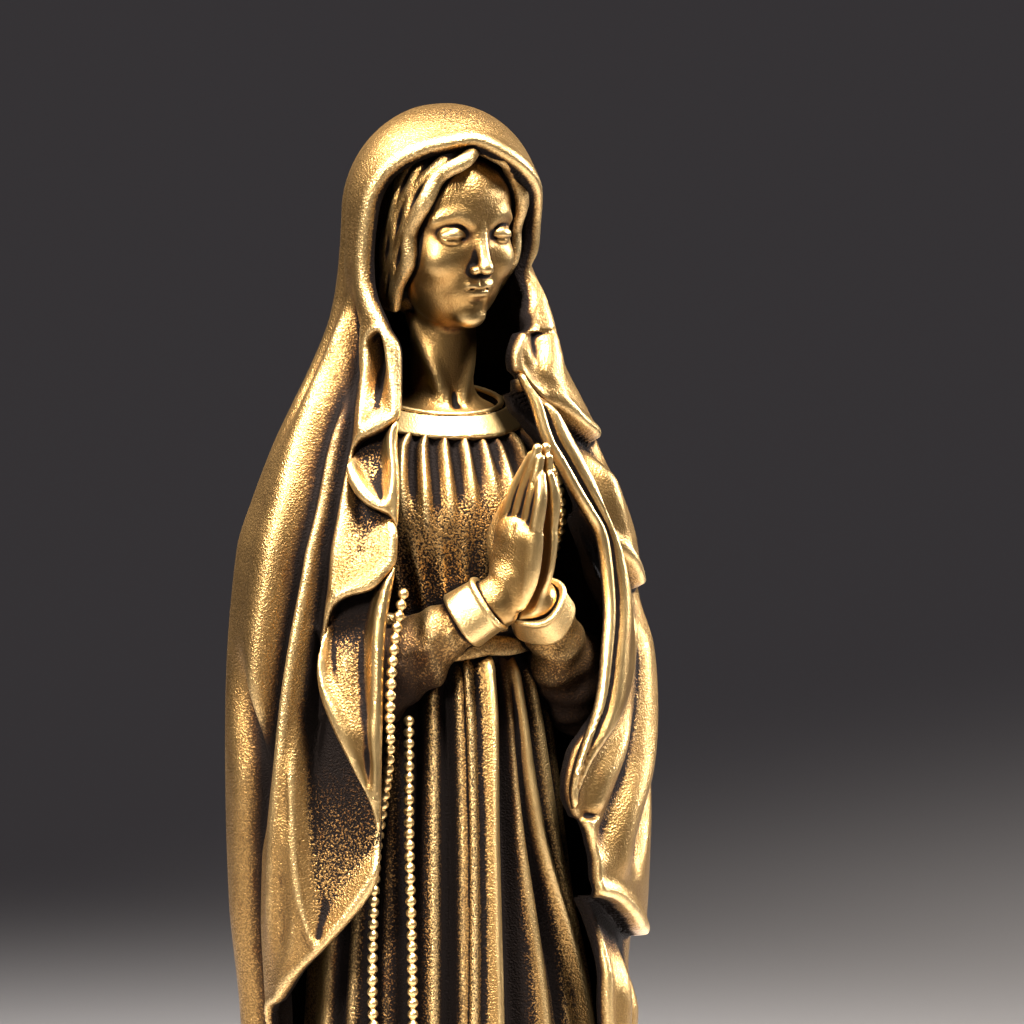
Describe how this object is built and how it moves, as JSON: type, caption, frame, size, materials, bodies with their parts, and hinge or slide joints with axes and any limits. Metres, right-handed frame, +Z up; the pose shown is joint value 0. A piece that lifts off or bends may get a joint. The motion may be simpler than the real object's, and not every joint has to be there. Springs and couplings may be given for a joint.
{
  "type": "statuette",
  "caption": "Small cast-brass Madonna statuette: a veiled standing figure with hands joined in prayer, in a flowing mantle, on an oval base.",
  "frame": {"origin": "centre of the underside, on the surface that the statuette stands on", "axes": "+Z up the figure; the figure faces -Y; her right side is at -X"},
  "size_m": [0.0194, 0.0158, 0.0602],
  "materials": {
    "brass_cloth": "cast brass, polished on the raised folds, dark in the hollows",
    "brass_gown": "cast brass, granular and dark in the grooves, polished on the pleats",
    "brass_skin": "cast brass, smooth satin",
    "brass_trim": "cast brass, bright polished",
    "brass_base": "cast brass, satin, dark in the step",
    "steel_fixings": "plain steel",
    "felt": "dark green felt"
  },
  "bodies": {
    "root": {"felt_pad": "felt", "base_plinth": "brass_base", "base_screw": "steel_fixings", "gown_skirt": "brass_gown", "gown_bodice": "brass_gown", "gown_collar": "brass_trim", "sash_band": "brass_cloth", "sash_tail": "brass_gown", "head": "brass_skin", "head_dowel": "steel_fixings", "hair": "brass_skin", "mantle": "brass_cloth", "mantle_lining_right": "brass_cloth", "mantle_lining_left": "brass_cloth", "sleeve_right": "brass_cloth", "cuff_right": "brass_trim", "hand_right": "brass_skin", "wrist_dowel_right": "steel_fixings", "foot_right": "brass_skin", "sleeve_left": "brass_cloth", "cuff_left": "brass_trim", "hand_left": "brass_skin", "wrist_dowel_left": "steel_fixings", "foot_left": "brass_skin", "rosary_beads": "brass_trim", "rosary_cross": "brass_trim", "shoulder_beads": "brass_trim"}
  },
  "joints": []
}
